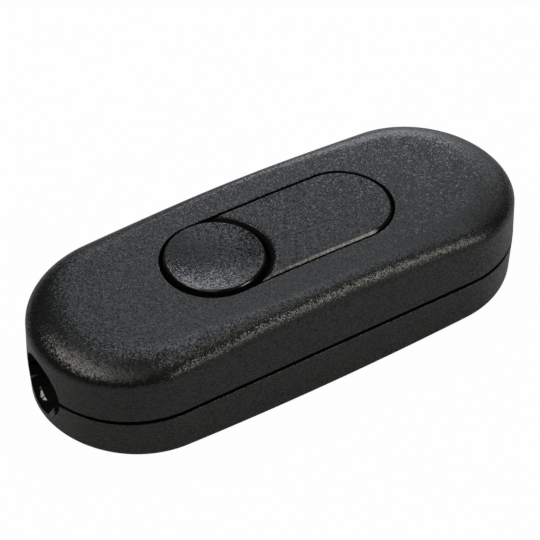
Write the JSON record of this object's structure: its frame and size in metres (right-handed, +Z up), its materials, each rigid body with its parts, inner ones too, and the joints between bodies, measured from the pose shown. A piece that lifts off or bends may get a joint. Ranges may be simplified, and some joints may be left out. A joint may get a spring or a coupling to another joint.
{
  "type": "inline cord dimmer",
  "caption": "Rounded inline cord dimmer: crowned split housing, dished push button next to a flush plate, and a funnel-mouthed cord inlet at each end.",
  "frame": {"origin": "middle of the underside, on the surface that the housing lies on", "axes": "+X along the housing, from the button towards the plate; +Z up, out of the face with the button"},
  "size_m": [0.0898, 0.0348, 0.0215],
  "materials": {
    "housing_upper": "black moulded ABS, fine spark-eroded texture",
    "housing_lower": "black moulded ABS, fine spark-eroded texture",
    "button": "black moulded ABS, fine texture",
    "plate": "black moulded ABS, fine texture",
    "spring_steel": "drawn wire",
    "board": "glass-epoxy laminate with solder mask",
    "switch_plastic": "moulded",
    "tinned_steel": "stamped, tinned",
    "tinned_copper": "stamped, tinned",
    "epoxy": "moulded epoxy",
    "ferrite": "sintered",
    "copper_wire": "enamelled wire winding",
    "film_case": "moulded case",
    "capacitor_can": "drawn can with shrink sleeve",
    "varistor_coat": "dipped epoxy",
    "ceramic": "fired ceramic",
    "plated_brass": "stamped, nickel plated",
    "terminal_plastic": "moulded polyamide",
    "zinc_steel": "cold formed, zinc plated",
    "clamp_plastic": "moulded polyamide"
  },
  "bodies": {
    "housing": {"upper_shell": "housing_upper", "lower_shell": "housing_lower", "cover_plate": "plate", "return_spring": "spring_steel", "circuit_board": "board", "switch_base": "switch_plastic", "switch_cover": "tinned_steel", "switch_pins": "tinned_copper", "control_chip": "epoxy", "chip_leads": "tinned_copper", "power_transistors": "epoxy", "transistor_tabs": "tinned_copper", "transistor_leads": "tinned_copper", "choke_core": "ferrite", "choke_winding": "copper_wire", "film_capacitor": "film_case", "storage_capacitor": "capacitor_can", "varistor": "varistor_coat", "fuse_tube": "ceramic", "fuse_caps": "plated_brass", "rectifier_diodes": "epoxy", "diode_leads": "tinned_copper", "supply_terminal": "terminal_plastic", "lamp_terminal": "terminal_plastic", "terminal_cages": "plated_brass", "terminal_screws": "zinc_steel", "supply_cord_clamp": "clamp_plastic", "lamp_cord_clamp": "clamp_plastic", "clamp_screws": "zinc_steel", "housing_screws": "zinc_steel"},
    "button": {"push_button": "button", "switch_plunger": "switch_plastic"}
  },
  "joints": [
    {"name": "button_press", "type": "slide", "parent": "housing", "child": "button", "axis": [0, 0, -1], "range_m": [0, 0.0008], "stiffness_N_per_m": 1500, "springref_m": -0.0006, "deforming": ["return_spring"]}
  ]
}
